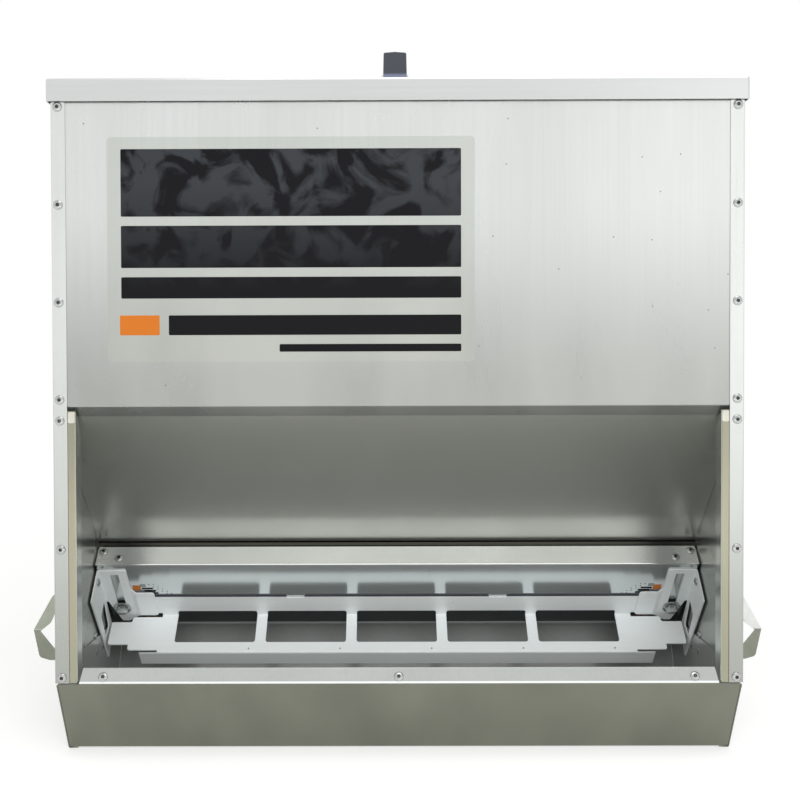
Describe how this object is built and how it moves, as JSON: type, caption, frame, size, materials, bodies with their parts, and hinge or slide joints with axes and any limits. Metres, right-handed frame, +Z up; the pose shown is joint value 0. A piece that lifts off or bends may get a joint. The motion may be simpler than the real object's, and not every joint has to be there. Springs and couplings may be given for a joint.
{
  "type": "livestock hopper feeder",
  "caption": "Stainless hopper feeder with hinged lid, sloping front sheet, low trough and a sliding restrictor plate with windows that sets the feed flow.",
  "frame": {"origin": "centre of the bounding box at the ground, with the handles and the lid hinges counted", "axes": "+X to the feeder's right as seen from the front, the open front faces -Y, +Z up"},
  "size_m": [1.0784, 0.4184, 0.9329],
  "materials": {
    "stainless_sheet": "dull cold-rolled stainless sheet",
    "polished_steel": "polished stainless",
    "black_rubber": "matte moulded"
  },
  "bodies": {
    "body": {"carry_handle_left": "stainless_sheet", "carry_handle_right": "stainless_sheet", "chute_panel": "stainless_sheet", "clamp_bolt_left": "polished_steel", "clamp_bolt_right": "polished_steel", "clamp_nut_left": "polished_steel", "clamp_nut_right": "polished_steel", "clamp_washer_left": "polished_steel", "clamp_washer_right": "polished_steel", "edge_channel_left": "stainless_sheet", "edge_channel_right": "stainless_sheet", "front_panel": "stainless_sheet", "front_rivet_left_1": "polished_steel", "front_rivet_left_2": "polished_steel", "front_rivet_left_3": "polished_steel", "front_rivet_left_4": "polished_steel", "front_rivet_left_5": "polished_steel", "front_rivet_left_6": "polished_steel", "front_rivet_left_7": "polished_steel", "front_rivet_right_1": "polished_steel", "front_rivet_right_2": "polished_steel", "front_rivet_right_3": "polished_steel", "front_rivet_right_4": "polished_steel", "front_rivet_right_5": "polished_steel", "front_rivet_right_6": "polished_steel", "front_rivet_right_7": "polished_steel", "hinge_fixed_leaf_left": "polished_steel", "hinge_fixed_leaf_right": "polished_steel", "hinge_pin_left": "polished_steel", "hinge_pin_right": "polished_steel", "hopper_slope": "stainless_sheet", "ledge_bracket_left": "stainless_sheet", "ledge_bracket_right": "stainless_sheet", "ledge_rivet_left_1": "polished_steel", "ledge_rivet_left_2": "polished_steel", "ledge_rivet_right_1": "polished_steel", "ledge_rivet_right_2": "polished_steel", "lip_rivet_left": "polished_steel", "lip_rivet_middle": "polished_steel", "lip_rivet_right": "polished_steel", "lip_stiffener": "stainless_sheet", "rear_panel": "stainless_sheet", "side_panel_left": "stainless_sheet", "side_panel_right": "stainless_sheet", "trough_end_left": "stainless_sheet", "trough_end_right": "stainless_sheet", "trough_shell": "stainless_sheet"},
    "lid": {"lid_shell": "stainless_sheet", "lid_grip": "black_rubber", "lid_grip_saddle": "stainless_sheet", "hinge_lid_leaf_left": "polished_steel", "hinge_lid_leaf_right": "polished_steel"},
    "restrictor": {"restrictor_plate": "stainless_sheet", "restrictor_bracket_left": "stainless_sheet", "restrictor_bracket_right": "stainless_sheet", "bracket_rivet_left": "polished_steel", "bracket_rivet_right": "polished_steel"}
  },
  "joints": [
    {"name": "lid_hinge", "type": "hinge", "parent": "body", "child": "lid", "pos_m": [0, 0.20495, 0.8619], "axis": [-1, 0, 0], "range_deg": [0, 195]},
    {"name": "restrictor_slide", "type": "slide", "parent": "body", "child": "restrictor", "axis": [0, 0.7071, -0.7071], "range_m": [-0.005, 0.08]}
  ]
}
